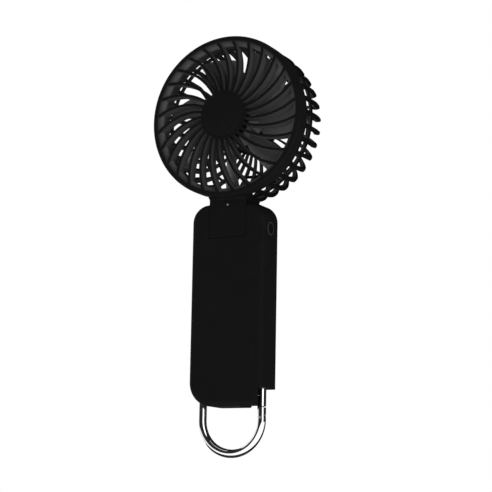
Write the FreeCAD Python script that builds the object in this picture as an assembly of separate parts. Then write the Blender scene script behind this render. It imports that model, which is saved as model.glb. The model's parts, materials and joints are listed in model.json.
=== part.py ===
"""Folding hand-held fan with a carabiner: FreeCAD source.

Millimetres, +Z up. The fan stands upright on its carabiner loop, blowing towards -Y.
Everything is drawn with the handle's mid plane on Y = 0; export() then moves each piece by
frame_shift_y, so that the origin ends up under the middle of the whole fan's box.
"""
import FreeCAD, Part
import math
import os

os.makedirs("parts", exist_ok=True)
V = FreeCAD.Vector
X_AXIS = V(1, 0, 0)
Y_AXIS = V(0, 1, 0)
Z_AXIS = V(0, 0, 1)

# ---- clearances -----------------------------------------------------------------------
running_gap = 0.05          # radial, a shaft in its hole
moving_gap = 0.3            # between faces of pieces that move past each other
fit_gap = 0.05              # between pieces of one body that sit in each other

# ---- cutting tools --------------------------------------------------------------------
past = 9.0                  # a small cutting solid runs this far past what it cuts
beyond = 99.0               # a large cutting solid
above = 999.0               # one that clears the fan's whole height

# ---- carabiner ------------------------------------------------------------------------
rod_r = 2.5                 # chrome rod
rod_inset = 4.5             # rod centre line in from the handle's side
handle_over_arc = 7.4       # handle bottom above the arc's centre
leg_in_handle = 14.0        # how far the fixed leg is buried
nose_in_handle = 16.0       # how far the nose reaches above the handle bottom
gate_pin_rise = 1.3         # gate hinge above the arc's centre
gate_pin_r = 0.75
tongue_half = 1.0           # flat tongue of the frame between the gate's cheeks
tongue_margin = 0.2         # tongue inside the rod's outline
cheek_gap = 0.15            # between the tongue and the gate's cheeks
lap_low_rise = 7.6          # lap joint's lower end above the arc's centre
lap_high_rise = 13.6        # lap joint's upper end above the arc's centre
spring_wire_r = 0.15
spring_coil_r = 1.3
gate_swing_room = 11.0      # from the rod's centre line to the pocket's inner end

# ---- handle ---------------------------------------------------------------------------
handle_w = 47.0
handle_d = 20.7
handle_len = 102.4          # pivot axis down to the bottom face
ear_rise = 15.1             # pivot axis up to the ear tops
ear_corner_r = 10.5
bottom_left_r = 14.0
bottom_right_r = 3.2
handle_edge_r = 3.0
shell_wall = 1.8
pocket_lip = 3.85           # wall left in front of the gate's pocket
pocket_rise = 10.4          # pocket ceiling above the handle bottom
pocket_corner_r = 3.0
pocket_open = 0.7           # front lip's end, out from the rod's centre line

# ---- pivot ----------------------------------------------------------------------------
pivot_y = -1.5
neck_half_w = 11.8
neck_seam_drop = 5.0        # lower edge of the neck's front face, below the pivot axis
recess_drop = 12.6          # floor of the space between the ears, below the pivot axis
neck_rise = 17.8            # pivot axis up to the lowest point of the head's ring
neck_flare_r = 1.5          # fillet under the ring
pin_r = 2.5
pin_in_barrel = 7.0
pin_head_wide = 1.0
pin_head_long = 2.0
cap_r = 4.25
cap_proud = 0.4
cap_thick = 1.2
washer_r = 6.0
washer_thick = 0.8
neck_screw_x = 6.5
neck_screw_rise = 12.5
neck_screw_seat = 1.6       # screw heads' seats below the neck's rear face

# ---- head -----------------------------------------------------------------------------
head_r = 48.0
bezel_width = 3.5           # ring between the duct and the outside
bezel_face = 2.7            # flat front of that ring
lip_in = 2.0                # ring's inner lip, in from the duct
lip_deep = 3.0              # lip behind the ring's front
ring_front_y = -16.0
bezel_depth = 5.0
bezel_out_round = 1.4
band_depth = 8.5
duct_depth = 14.0
duct_wall = 1.5
hub_r = 14.5
hub_ahead = 3.3             # hub's front edge ahead of the ring's front
cap_seat = 0.8              # depth of the badge disc's seat
cap_rim = 1.3               # hub wall round the badge disc
cap_dome = 1.1              # badge disc's middle ahead of the hub's front edge
spoke_count = 28
spoke_thick = 1.6
spoke_deep = 7.0
spoke_set_back = 0.4        # spokes' outer ends behind the ring's front
spoke_phase_deg = -12.0     # inner end of the first spoke, from +X towards +Z
spoke_mid_deg = 8.4         # turn from the hub to half way
spoke_end_deg = 19.8        # turn from the hub to the ring

# ---- rear grille ----------------------------------------------------------------------
rib_count = 36
rib_thick = 1.6
rib_deep = 2.8
rib_phase_deg = 0.9          # first rib, from +X towards +Z
cage_back_y = 23.0
cage_corner_r = 2.8
cage_corner_in = 6.9        # corner circle's centre in from head_r
cage_bulge_y = 7.0          # where the ribs' sides start to taper
bar_wide = 2.0              # connecting bar round the ribs' sides
bar_behind_duct = 4.6       # gap between the duct's rear edge and that bar
ring_in = 0.6               # rings inside the ribs' outline
back_ring_out = 12.7        # middle ring's inner edge, out from the motor plate
outer_ring_in = 6.0         # outer ring's inner edge, in from the rounded corner's centre
back_ring_wide = 1.6
cup_r = 15.5                # plate that holds the motor
back_swirl_deg = -16.0      # turn of the rear ribs from the plate to the rim

# ---- motor and impeller ---------------------------------------------------------------
shaft_r = 1.0
shaft_gap = 0.03
bearing_r = 3.0
bearing_long = 2.5
tube_r = 4.2
tip_gap = 2.1               # blade tips to the duct
impeller_hub_r = 14.0
impeller_front_y = -11.2
impeller_back_y = 5.0
impeller_wall = 1.6
blade_count = 7
blade_thick = 1.5
blade_pitch_deg = 38.0
blade_front_y = -6.5
blade_back_y = 12.5
rotor_r = 12.2
rotor_wall = 0.8
magnet_wall = 1.4
stator_r = 9.7
stator_teeth = 9
motor_screw_r = 9.5         # circle that the motor screws stand on
motor_screw_seat = 1.7      # screw heads' seats below the plate's rear face
motor_screw_grip = 5.0      # screws' reach into the motor cup
rear_cap_rim = 2.5          # plate left round the rear cap
rear_cap_deep = 0.75
cup_front_y = 7.5
cup_floor = 2.0

# ---- inside the handle ----------------------------------------------------------------
board_thick = 1.2
board_y = 1.0
board_side_gap = 2.7
board_top_gap = 10.0        # board's upper edge below the cavity's top
board_h = 48.0
cell_gap = 1.3              # round the cell, for its tape
cell_end_room = 19.8        # cavity left above and below the cell
cell_foot = 2.0
cell_seal_h = 2.5
boss_r = 2.6
boss_end_gap = 4.0          # upper screws below the cavity's top
boss_foot_gap = 11.8        # lower screws above the cavity's bottom
screw_r = 1.0
screw_head_r = 1.9
screw_seat = 2.0            # screw heads' seats below the surface
screw_head_high = 1.2
cross_half = 1.0            # half length of a screw head's cross slots
slot_half = 0.2             # half width of a screw head's slots
slot_up = 0.6               # slots' floor above the seat
usb_w = 8.94
usb_h = 3.16
usb_long = 7.35
usb_under_button = 16.0
switch_side = 5.0
switch_tall = 1.6
plunger_tall = 0.5
button_r = 5.0
button_flange = 1.2
button_travel = 0.8
button_proud = 0.3
button_under_windows = 11.0
window_count = 4
window_pitch = 4.0
window_w = 2.4
window_h = 1.2
window_top_gap = 15.1       # windows below the cavity's top
led_r = 0.6
led_rise = 14.1

# ---- places worked out from the sizes above -------------------------------------------
half_w = handle_w / 2
half_d = handle_d / 2
loop_half_width = half_w - rod_inset
arc_z = loop_half_width + rod_r
handle_bottom = arc_z + handle_over_arc
pivot_z = handle_bottom + handle_len
head_z = pivot_z + neck_rise + head_r
ear_top = pivot_z + ear_rise
ear_inner = neck_half_w + moving_gap
barrel_r = half_d + pivot_y
recess_floor = pivot_z - recess_drop

pocket_x = loop_half_width - gate_swing_room
pocket_front_y = -half_d + pocket_lip
pocket_top = handle_bottom + pocket_rise
gate_pin_z = arc_z + gate_pin_rise
lap_low = arc_z + lap_low_rise
lap_high = arc_z + lap_high_rise
gate_shoulder_z = gate_pin_z + math.sqrt((lap_low - gate_pin_z - 0.1) ** 2 - rod_r**2)

opening_r = head_r - bezel_width
duct_r_out = opening_r + duct_wall
impeller_r = opening_r - tip_gap
hub_front_y = ring_front_y - hub_ahead
front_most_y = hub_front_y - cap_dome
bezel_back_y = ring_front_y + bezel_depth
band_back_y = ring_front_y + band_depth
duct_back_y = ring_front_y + duct_depth
side_r_in = duct_r_out + 0.15
back_rib_y = cage_back_y - rib_deep
rotor_front_y = impeller_front_y + impeller_wall + 0.2
frame_shift_y = -(front_most_y + cage_back_y) / 2

cavity_x = half_w - shell_wall
cavity_y = half_d - shell_wall
cavity_bottom = pocket_top + shell_wall
cavity_top = recess_floor - shell_wall
boss_x = cavity_x - boss_r - 0.2
cell_w = 2 * (boss_x - boss_r - cell_gap)
cell_d = cavity_y + board_y - cell_gap - 0.25
cell_h = cavity_top - cavity_bottom - cell_end_room
board_w = 2 * (cavity_x - board_side_gap)
board_z = cavity_top - board_top_gap - board_h
window_z = cavity_top - window_top_gap
button_z = window_z - button_under_windows
usb_z = button_z - usb_under_button
component_y = board_y + board_thick


# ---- helpers --------------------------------------------------------------------------
def box(x0, x1, y0, y1, z0, z1):
    """A box from its lowest and highest corner."""
    return Part.makeBox(x1 - x0, y1 - y0, z1 - z0, V(x0, y0, z0))


def rod(radius, start, axis, length):
    """A cylinder from start along axis."""
    return Part.makeCylinder(radius, length, start, axis)


def across(radius, x0, x1, y, z):
    """A cylinder along X."""
    return rod(radius, V(x0, y, z), X_AXIS, x1 - x0)


def along_head(radius, y0, y1):
    """A cylinder on the fan's axis."""
    return rod(radius, V(0, y0, head_z), Y_AXIS, y1 - y0)


def pipe(r_in, r_out, y0, y1):
    """A round wall on the fan's axis."""
    return along_head(r_out, y0, y1).cut(along_head(r_in, y0 - 1, y1 + 1))


def fuse(shapes):
    """One shape from several, with the seams between them removed."""
    return shapes[0].multiFuse(shapes[1:]).removeSplitter()


def outline(place, start, *steps):
    """A flat face: each step is an end point, or (mid point, end point) for an arc."""
    edges = []
    here = start
    for step in steps:
        if isinstance(step[0], tuple):
            mid, end = step
            edges.append(Part.Arc(place(*here), place(*mid), place(*end)).toShape())
        else:
            end = step
            edges.append(Part.LineSegment(place(*here), place(*end)).toShape())
        here = end
    if here != start:
        edges.append(Part.LineSegment(place(*here), place(*start)).toShape())
    return Part.Face(Part.Wire(edges))


def on_circle(u, v, radius, degrees):
    """A point on a circle in a flat drawing."""
    turn = math.radians(degrees)
    return (u + radius * math.cos(turn), v + radius * math.sin(turn))


def turned(start, *steps):
    """A profile of (radius, y) points turned round the fan's axis."""
    face = outline(lambda r, y: V(r, y, head_z), start, *steps)
    return face.revolve(V(0, 0, head_z), Y_AXIS, 360)


def round_head(shape, degrees):
    """Turned about the fan's axis, counter-clockwise as seen from the front."""
    copy = shape.copy()
    copy.rotate(V(0, 0, head_z), Y_AXIS, -degrees)
    return copy


def around_head(shape, count, phase=0.0):
    """Equal copies round the fan's axis."""
    return [round_head(shape, phase + i * 360.0 / count) for i in range(count)]


def both_sides(shape):
    """A piece on the right and its mirror image on the left."""
    return [shape, shape.mirror(V(0, 0, 0), X_AXIS)]


def swept_strip(r0, r1, mid_deg, end_deg, thick, y0, y1):
    """A curved strip from radius r0 to r1 that turns by end_deg on the way."""
    p0 = on_circle(0, 0, r0, 0)
    p1 = on_circle(0, 0, (r0 + r1) / 2, mid_deg)
    p2 = on_circle(0, 0, r1, end_deg)
    arc = Part.Arc(V(p0[0], 0, p0[1]), V(p1[0], 0, p1[1]), V(p2[0], 0, p2[1])).toShape().Curve
    centre = arc.Center
    sides = []
    for side in (-thick / 2, thick / 2):
        points = []
        for p in (p0, p1, p2):
            ray = V(p[0], 0, p[1]).sub(centre)
            points.append(centre.add(ray.multiply((arc.Radius + side) / arc.Radius)))
        sides.append(points)
    inner, outer = sides
    edges = [
        Part.Arc(*inner).toShape(),
        Part.LineSegment(inner[2], outer[2]).toShape(),
        Part.Arc(*outer).toShape(),
        Part.LineSegment(outer[0], inner[0]).toShape(),
    ]
    strip = Part.Face(Part.Wire(edges)).extrude(V(0, y1 - y0, 0))
    strip.translate(V(0, y0, head_z))
    return strip


def export(name, shape):
    """Moves a piece into the fan's frame and writes it."""
    moved = shape.copy()
    moved.translate(V(0, frame_shift_y, 0))
    if len(moved.Solids) == 1:
        moved = moved.Solids[0]
    else:
        moved = Part.makeCompound(moved.Solids)
    assert moved.isValid(), name
    moved.exportStep("parts/" + name + ".step")


# ---- handle ---------------------------------------------------------------------------
def handle_outline():
    """The handle's face: round ears at the top, a wide round at the bottom left."""
    left, right, low, high = -half_w, half_w, handle_bottom, ear_top
    e, bl, br = ear_corner_r, bottom_left_r, bottom_right_r
    return outline(
        lambda x, z: V(x, -half_d, z),
        (left, low + bl),
        (left, high - e),
        (on_circle(left + e, high - e, e, 135), (left + e, high)),
        (right - e, high),
        (on_circle(right - e, high - e, e, 45), (right, high - e)),
        (right, low + br),
        (on_circle(right - br, low + br, br, -45), (right - br, low)),
        (left + bl, low),
        (on_circle(left + bl, low + bl, bl, -135), (left, low + bl)),
    )


def rounded_block():
    """The handle's outer form, with its front and rear edges rounded."""
    block = handle_outline().extrude(V(0, handle_d, 0))
    rims = []
    for edge in block.Edges:
        span = edge.BoundBox
        if abs(abs(span.YMin) - half_d) < 0.001 and abs(span.YMax - span.YMin) < 0.001:
            rims.append(edge)
    return block.makeFillet(handle_edge_r, rims)


def gate_pocket():
    """The space at the bottom right that the gate swings in, behind a lip that ends at the rod."""
    inner, top, r = pocket_x, pocket_top, pocket_corner_r
    face = outline(
        lambda x, z: V(x, pocket_front_y, z),
        (inner, handle_bottom - 1),
        (inner, top - r),
        (on_circle(inner + r, top - r, r, 135), (inner + r, top)),
        (half_w + 1, top),
        (half_w + 1, handle_bottom - 1),
    )
    behind_lip = face.extrude(V(0, half_d - pocket_front_y + 1, 0))
    end_x, deep = loop_half_width + pocket_open, half_d + 1
    beside_lip = box(end_x, half_w + 1, -deep, deep, handle_bottom - 1, top)
    return behind_lip.fuse(beside_lip).removeSplitter()


def neck_space():
    """What is cut out between the ears so that the neck can fold back."""
    low = pivot_z - neck_seam_drop - moving_gap
    over = box(-ear_inner, ear_inner, -half_d - 1, half_d + 1, low, ear_top + 1)
    behind = box(-ear_inner, ear_inner, pivot_y, half_d + 1, recess_floor, ear_top + 1)
    barrel = across(barrel_r + moving_gap, -ear_inner, ear_inner, pivot_y, pivot_z)
    return [over, behind, barrel]


def pivot_holes():
    """Seats for the hinge pins, their heads and the caps."""
    holes = []
    head_in = half_w - cap_thick + cap_proud
    for x_side in (1, -1):
        for radius, start, end in (
            (pin_r + fit_gap, ear_inner - 1, half_w + 1),
            (pin_r + pin_head_wide + fit_gap, head_in - pin_head_long - 2 * fit_gap, half_w + 1),
            (cap_r + fit_gap, head_in, half_w + 1),
        ):
            x0, x1 = sorted((x_side * start, x_side * end))
            holes.append(across(radius, x0, x1, pivot_y, pivot_z))
    return holes


def rod_holes():
    """Where the carabiner's fixed leg and its nose are held."""
    leg = rod(rod_r + fit_gap, V(-loop_half_width, 0, handle_bottom - 1), Z_AXIS, 30)
    nose = rod(rod_r + fit_gap, V(loop_half_width, 0, pocket_top - 1), Z_AXIS, 10)
    return [leg, nose]


def screw_places():
    """Centres of the four handle screws."""
    heights = (cavity_bottom + boss_foot_gap, cavity_top - boss_end_gap)
    return [(x, z) for x in (-boss_x, boss_x) for z in heights]


def usb_hole():
    """The slot for the charging socket in the left side."""
    y0 = component_y
    z0 = usb_z - usb_w / 2
    g = fit_gap
    return box(-half_w - 1, -cavity_x + 1, y0 - g, y0 + usb_h + g, z0 - g, z0 + usb_w + g)


def window_places():
    """Centres of the charge indicator's windows."""
    first = -window_pitch * (window_count - 1) / 2
    return [first + i * window_pitch for i in range(window_count)]


def window_holes(gap):
    """The windows, or with a gap the openings that they sit in."""
    holes = []
    for x in window_places():
        holes.append(
            box(
                x - window_w / 2 - gap,
                x + window_w / 2 + gap,
                cavity_y - gap,
                half_d,
                window_z - window_h / 2 - gap,
                window_z + window_h / 2 + gap,
            )
        )
    return holes


def handle_shells():
    """Front and rear shell, split through the pivot axis."""
    block = rounded_block()
    cavity = box(-cavity_x, cavity_x, -cavity_y, cavity_y, cavity_bottom, cavity_top)
    block = block.cut([cavity, gate_pocket()] + neck_space() + pivot_holes() + rod_holes())
    block = block.cut(usb_hole())
    front = block.common(box(-beyond, beyond, -beyond, pivot_y, 0, above))
    rear = block.common(box(-beyond, beyond, pivot_y, beyond, 0, above))
    front_posts, front_holes, rear_posts, rear_holes = [], [], [], []
    for x, z in screw_places():
        front_posts.append(rod(boss_r, V(x, -cavity_y - 0.5, z), Y_AXIS, cavity_y + 0.5 + pivot_y))
        front_holes.append(rod(screw_r + fit_gap, V(x, -cavity_y + 1, z), Y_AXIS, 20))
        rear_posts.append(rod(boss_r, V(x, pivot_y, z), Y_AXIS, cavity_y + 0.5 - pivot_y))
        rear_holes.append(rod(screw_r + fit_gap, V(x, pivot_y - 1, z), Y_AXIS, 20))
        head_seat = half_d - screw_seat
        rear_holes.append(rod(screw_head_r + fit_gap, V(x, head_seat, z), Y_AXIS, 5))
    rear_holes.append(rod(button_r + moving_gap, V(0, 0, button_z), Y_AXIS, 20))
    rear_holes += window_holes(fit_gap)
    front = front.multiFuse(front_posts).cut(front_holes).removeSplitter()
    rear = rear.multiFuse(rear_posts).cut(rear_holes).removeSplitter()
    return front, rear


def handle_screws():
    """Four countersunk screws from the rear."""
    screws = []
    for x, z in screw_places():
        seat = half_d - screw_seat
        shank_start = -cavity_y + 1.5
        shank = rod(screw_r, V(x, shank_start, z), Y_AXIS, seat - shank_start + 0.2)
        head = rod(screw_head_r, V(x, seat, z), Y_AXIS, screw_head_high)
        cuts = []
        for wide, tall in ((cross_half, slot_half), (slot_half, cross_half)):
            cuts.append(box(x - wide, x + wide, seat + slot_up, seat + 2, z - tall, z + tall))
        screws.append(shank.fuse(head).cut(cuts).removeSplitter())
    return Part.makeCompound(screws)


# ---- pivot ----------------------------------------------------------------------------
def pivot_cap(side):
    """Round cover over the hinge pin in one ear."""
    inner = half_w - cap_thick + cap_proud
    cap = across(cap_r, inner, half_w + cap_proud, pivot_y, pivot_z)
    rim = [e for e in cap.Edges if abs(e.BoundBox.XMin - half_w - cap_proud) < 0.001]
    cap = cap.makeFillet(0.3, [e for e in rim if e.Closed])
    return cap if side > 0 else cap.mirror(V(0, 0, 0), X_AXIS)


def hinge_pins():
    """Two shoulder pins from the ears into the neck's barrel."""
    head_out = half_w - cap_thick + cap_proud - fit_gap
    shank = across(pin_r, neck_half_w - pin_in_barrel, head_out, pivot_y, pivot_z)
    head = across(pin_r + pin_head_wide, head_out - pin_head_long, head_out, pivot_y, pivot_z)
    return Part.makeCompound(both_sides(shank.fuse(head).removeSplitter()))


def friction_washers():
    """Two washers that hold the head where it is put."""
    outer = across(washer_r, ear_inner - washer_thick, ear_inner, pivot_y, pivot_z)
    hole = across(pin_r + fit_gap, 0, half_w, pivot_y, pivot_z)
    return Part.makeCompound(both_sides(outer.cut(hole)))


# ---- carabiner ------------------------------------------------------------------------
def carabiner_frame():
    """Chrome rod: fixed leg, arc, and a flat tongue for the gate's hinge."""
    w, r = loop_half_width, rod_r
    top = handle_bottom + leg_in_handle
    path = Part.Wire(
        [
            Part.LineSegment(V(-w, 0, top), V(-w, 0, arc_z)).toShape(),
            Part.Arc(V(-w, 0, arc_z), V(0, 0, arc_z - w), V(w, 0, arc_z)).toShape(),
        ]
    )
    ring = Part.Wire(Part.Circle(V(-w, 0, top), Z_AXIS, r).toShape())
    loop = path.makePipeShell([ring], True, False)
    shoulder = gate_pin_z - r - moving_gap
    loop = loop.cut(box(w / 2, w + past, -past, past, shoulder, gate_pin_z + past))
    t, tongue_r = tongue_half, r - tongue_margin
    tongue = rod(tongue_r, V(w, -t, gate_pin_z), Y_AXIS, 2 * t)
    stem = box(w - tongue_r, w + tongue_r, -t, t, shoulder - 0.6, gate_pin_z)
    hole = rod(gate_pin_r + fit_gap, V(w, -past, gate_pin_z), Y_AXIS, 2 * past)
    return loop.multiFuse([tongue, stem]).removeSplitter().cut(hole)


def carabiner_nose():
    """Short rod in the pocket's ceiling, its lower end cut to the outer half."""
    w, r = loop_half_width, rod_r
    top = handle_bottom + nose_in_handle
    full = rod(r, V(w, 0, lap_low), Z_AXIS, top - lap_low)
    inner_half = box(w - past, w + moving_gap, -past, past, lap_low - 1, lap_high + moving_gap)
    return full.cut(inner_half)


def carabiner_gate():
    """Sprung gate: cheeks on the pin below, its upper end cut to the inner half."""
    w, r = loop_half_width, rod_r
    shoulder = gate_shoulder_z
    full = rod(r, V(w, 0, gate_pin_z), Z_AXIS, lap_high - gate_pin_z)
    outer_half = box(w, w + past, -past, past, shoulder, lap_high + 1)
    foot = rod(r, V(w, 0, gate_pin_z - r), Z_AXIS, r + 1)
    foot = foot.common(rod(r, V(w, -past, gate_pin_z), Y_AXIS, 2 * past))
    t = tongue_half + cheek_gap
    slot = box(w - past, w + past, -t, t, gate_pin_z - past, gate_pin_z + r + 0.1)
    hole = rod(gate_pin_r + running_gap, V(w, -past, gate_pin_z), Y_AXIS, 2 * past)
    spring_seat = rod(spring_coil_r + spring_wire_r + 0.25, V(w, 0, gate_pin_z), Y_AXIS, t + 0.7)
    return full.fuse(foot).cut([outer_half, slot, hole, spring_seat]).removeSplitter()


def gate_pin():
    """Rivet that the gate turns on."""
    return rod(gate_pin_r, V(loop_half_width, -rod_r + 0.2, gate_pin_z), Y_AXIS, 2 * rod_r - 0.4)


def gate_spring():
    """Torsion coil of two close turns round the pin, beside the frame's tongue."""
    turns = []
    for i in range(2):
        y = tongue_half + spring_wire_r * (1.2 + 1.8 * i)
        centre = V(loop_half_width, y, gate_pin_z)
        turns.append(Part.makeTorus(spring_coil_r, spring_wire_r, centre, Y_AXIS))
    return turns[0].fuse(turns[1]).removeSplitter()


# ---- inside the handle ----------------------------------------------------------------
def battery_cell():
    """Flat lithium cell against the front shell, with its folded seal at the top."""
    y0 = -cavity_y + 0.1
    z0 = cavity_bottom + cell_foot
    cell = box(-cell_w / 2, cell_w / 2, y0, y0 + cell_d, z0, z0 + cell_h)
    upright = [e for e in cell.Edges if e.BoundBox.ZMax - e.BoundBox.ZMin > cell_h - 1]
    cell = cell.makeFillet(2.5, upright)
    top = z0 + cell_h
    seal = box(-cell_w / 2 + 2, cell_w / 2 - 2, y0 + 2, y0 + 5, top, top + cell_seal_h)
    return cell.fuse(seal).removeSplitter()


def control_board():
    """Charging and speed control board."""
    z0, chip_y = board_z, component_y
    board = box(-board_w / 2, board_w / 2, board_y, chip_y, z0, z0 + board_h)
    chips = [
        box(4, 9, chip_y, chip_y + 1.0, z0 + 6, z0 + 11),
        box(-12, -8, chip_y, chip_y + 1.4, z0 + 30, z0 + 36),
        box(8, 14, chip_y, chip_y + 2.6, z0 + 20, z0 + 26),
    ]
    return board.multiFuse(chips).removeSplitter()


def usb_socket():
    """Charging socket: an oval steel shell with a tongue inside."""
    y0 = component_y
    z0 = usb_z - usb_w / 2
    x0 = -half_w + 0.3
    shell = box(x0, x0 + usb_long, y0, y0 + usb_h, z0, z0 + usb_w)
    shell = shell.makeFillet(1.2, [e for e in shell.Edges if e.BoundBox.XLength > usb_long - 0.1])
    w = 0.3
    room = box(x0 - 1, x0 + usb_long - 1.2, y0 + w, y0 + usb_h - w, z0 + w, z0 + usb_w - w)
    room = room.makeFillet(0.9, [e for e in room.Edges if e.BoundBox.XLength > usb_long - 1])
    mid = y0 + usb_h / 2
    tongue = box(x0 + 0.8, x0 + usb_long - 1, mid - 0.35, mid + 0.35, z0 + 1.2, z0 + usb_w - 1.2)
    return shell.cut(room).fuse(tongue).removeSplitter()


def tact_switch():
    """Switch that the power button presses."""
    z, y0, h = button_z, component_y, switch_side / 2
    case = box(-h, h, y0, y0 + switch_tall, z - h, z + h)
    plunger = rod(1.6, V(0, y0 + switch_tall, z), Y_AXIS, plunger_tall)
    return case.fuse(plunger).removeSplitter()


def power_button():
    """Round button with a flange that keeps it in and a stem over the switch."""
    z = button_z
    top = half_d + button_proud
    flange_y = cavity_y - 0.05
    cap = rod(button_r, V(0, flange_y - 1, z), Y_AXIS, top - flange_y + 1)
    rim = [e for e in cap.Edges if e.Closed and abs(e.BoundBox.YMin - top) < 0.001]
    cap = cap.makeFillet(0.3, rim)
    flange = rod(button_r + button_flange, V(0, flange_y - 1, z), Y_AXIS, 1)
    stem_y = component_y + switch_tall + plunger_tall + button_travel + 0.1
    stem = rod(1.5, V(0, stem_y, z), Y_AXIS, flange_y - stem_y)
    return cap.multiFuse([flange, stem]).removeSplitter()


# ---- head: front ----------------------------------------------------------------------
def bezel_ring():
    """Front ring: a flat face, a round outer edge, and a funnel down to its inner lip."""
    f, b = ring_front_y, bezel_out_round
    lip_r = opening_r - lip_in
    return turned(
        (lip_r, bezel_back_y),
        (lip_r, f + lip_deep),
        (head_r - bezel_face, f),
        (head_r - b, f),
        (on_circle(head_r - b, f + b, b, -45), (head_r, f + b)),
        (head_r, bezel_back_y),
    )


def spoke_dome():
    """The shallow dome that the spokes lie in."""
    inner, outer = hub_r - 1.0, opening_r + 0.5
    edge_y = ring_front_y + spoke_set_back
    middle = ((inner + outer) / 2, (hub_front_y + edge_y) / 2 - 0.5)
    back = (middle[0], middle[1] + spoke_deep)
    return turned(
        (inner, hub_front_y),
        (middle, (outer, edge_y)),
        (outer, edge_y + spoke_deep),
        (back, (inner, hub_front_y + spoke_deep)),
    )


def front_grille():
    """Front ring, curved spokes and hub in one moulding."""
    strip = swept_strip(
        hub_r - 0.7,
        opening_r + 0.3,
        spoke_mid_deg,
        spoke_end_deg,
        spoke_thick,
        hub_front_y - 3,
        ring_front_y + spoke_deep + 3,
    )
    spokes = Part.makeCompound(around_head(strip, spoke_count, spoke_phase_deg))
    duct_wall = pipe(opening_r - fit_gap, head_r + 5, bezel_back_y, bezel_back_y + 20)
    spokes = spokes.common(spoke_dome()).cut(duct_wall)
    hub = along_head(hub_r, hub_front_y, hub_front_y + spoke_deep)
    seat = along_head(hub_r - cap_rim, hub_front_y - 1, hub_front_y + cap_seat)
    return fuse([bezel_ring(), hub] + spokes.Solids).cut(seat)


def grille_cap():
    """Plain domed disc in the middle of the front grille."""
    r = hub_r - cap_rim - fit_gap
    y = hub_front_y
    return turned(
        (0, y + cap_seat),
        (0, y - cap_dome),
        ((r / 2, y - cap_dome * 0.78), (r, y)),
        (r, y + cap_seat),
    )


def neck_profile(front):
    """Side view of the neck's front or rear half, as a face at the neck's left side."""
    flare = neck_flare_r
    top = head_z - opening_r + 6
    place = lambda y, z: V(-neck_half_w, y, z)
    if front:
        flare_z = head_z - head_r - flare + 0.5
        seam = 180 + math.degrees(math.asin(neck_seam_drop / barrel_r))
        return outline(
            place,
            (pivot_y, pivot_z - barrel_r),
            (on_circle(pivot_y, pivot_z, barrel_r, 240), on_circle(pivot_y, pivot_z, barrel_r, seam)),
            (-half_d, pivot_z - neck_seam_drop),
            (-half_d, flare_z),
            (on_circle(-half_d - flare, flare_z, flare, 45), (-half_d - flare, flare_z + flare)),
            (-half_d - flare, top),
            (pivot_y, top),
        )
    back = pivot_y + barrel_r
    flare = neck_flare_r / 2
    flare_z = head_z - head_r - flare - 0.2
    return outline(
        place,
        (pivot_y, pivot_z - barrel_r),
        (on_circle(pivot_y, pivot_z, barrel_r, -45), (back, pivot_z)),
        (back, flare_z),
        (on_circle(back + flare, flare_z, flare, 135), (back + flare, flare_z + flare)),
        (back + flare, top),
        (pivot_y, top),
    )


def neck_half(front):
    """Front or rear half of the neck, with the hinge's bores and washer seats."""
    block = neck_profile(front).extrude(V(2 * neck_half_w, 0, 0))
    cuts = [along_head(opening_r + 0.7, -beyond, beyond)]
    if front:
        cuts.append(along_head(head_r + fit_gap, -beyond, bezel_back_y))
        cuts.append(rod(led_r + fit_gap, V(0, -half_d - 1, pivot_z + led_rise), Y_AXIS, 4.0))
    else:
        cuts.append(along_head(head_r + 0.15, -beyond, beyond))
    bore_end = neck_half_w - pin_in_barrel - 0.2
    for side in (1, -1):
        x0, x1 = sorted((side * bore_end, side * (neck_half_w + 1)))
        cuts.append(across(pin_r + running_gap, x0, x1, pivot_y, pivot_z))
        x0, x1 = sorted((side * (ear_inner - washer_thick - moving_gap), side * (neck_half_w + 1)))
        cuts.append(across(washer_r + moving_gap, x0, x1, pivot_y, pivot_z))
    return block.cut(cuts)


def neck_screw_places():
    """Centres of the two screws that join the neck's halves."""
    return [(x, pivot_z + neck_screw_rise) for x in (-neck_screw_x, neck_screw_x)]


def shroud():
    """Duct and outer band, with the front half of the neck."""
    ring = turned(
        (opening_r, bezel_back_y),
        (head_r, bezel_back_y),
        (head_r, band_back_y),
        (duct_r_out, band_back_y),
        (duct_r_out, duct_back_y),
        (opening_r, duct_back_y),
    )
    holes = [rod(screw_r + fit_gap, V(x, pivot_y - 6, z), Y_AXIS, 20) for x, z in neck_screw_places()]
    return ring.fuse(neck_half(True)).removeSplitter().cut(holes)


def neck_cover():
    """Rear half of the neck."""
    seat = pivot_y + barrel_r - neck_screw_seat
    holes = []
    for x, z in neck_screw_places():
        holes.append(rod(screw_r + fit_gap, V(x, pivot_y - 1, z), Y_AXIS, 20))
        holes.append(rod(screw_head_r + fit_gap, V(x, seat, z), Y_AXIS, 20))
    return neck_half(False).cut(holes)


def neck_screws():
    """Two screws through the neck cover."""
    seat = pivot_y + barrel_r - neck_screw_seat
    screws = []
    for x, z in neck_screw_places():
        start = pivot_y - 5.5
        shank = rod(screw_r, V(x, start, z), Y_AXIS, seat - start + 0.2)
        head = rod(screw_head_r, V(x, seat, z), Y_AXIS, 1.1)
        long, y = cross_half + 0.1, seat + slot_up
        slot = box(x - long, x + long, y, y + 2, z - slot_half, z + slot_half)
        screws.append(shank.fuse(head).cut(slot).removeSplitter())
    return Part.makeCompound(screws)


def status_lens():
    """Tiny round lens of the running light on the neck's front."""
    return rod(led_r, V(0, -half_d - 0.05, pivot_z + led_rise), Y_AXIS, 2.9)


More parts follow.
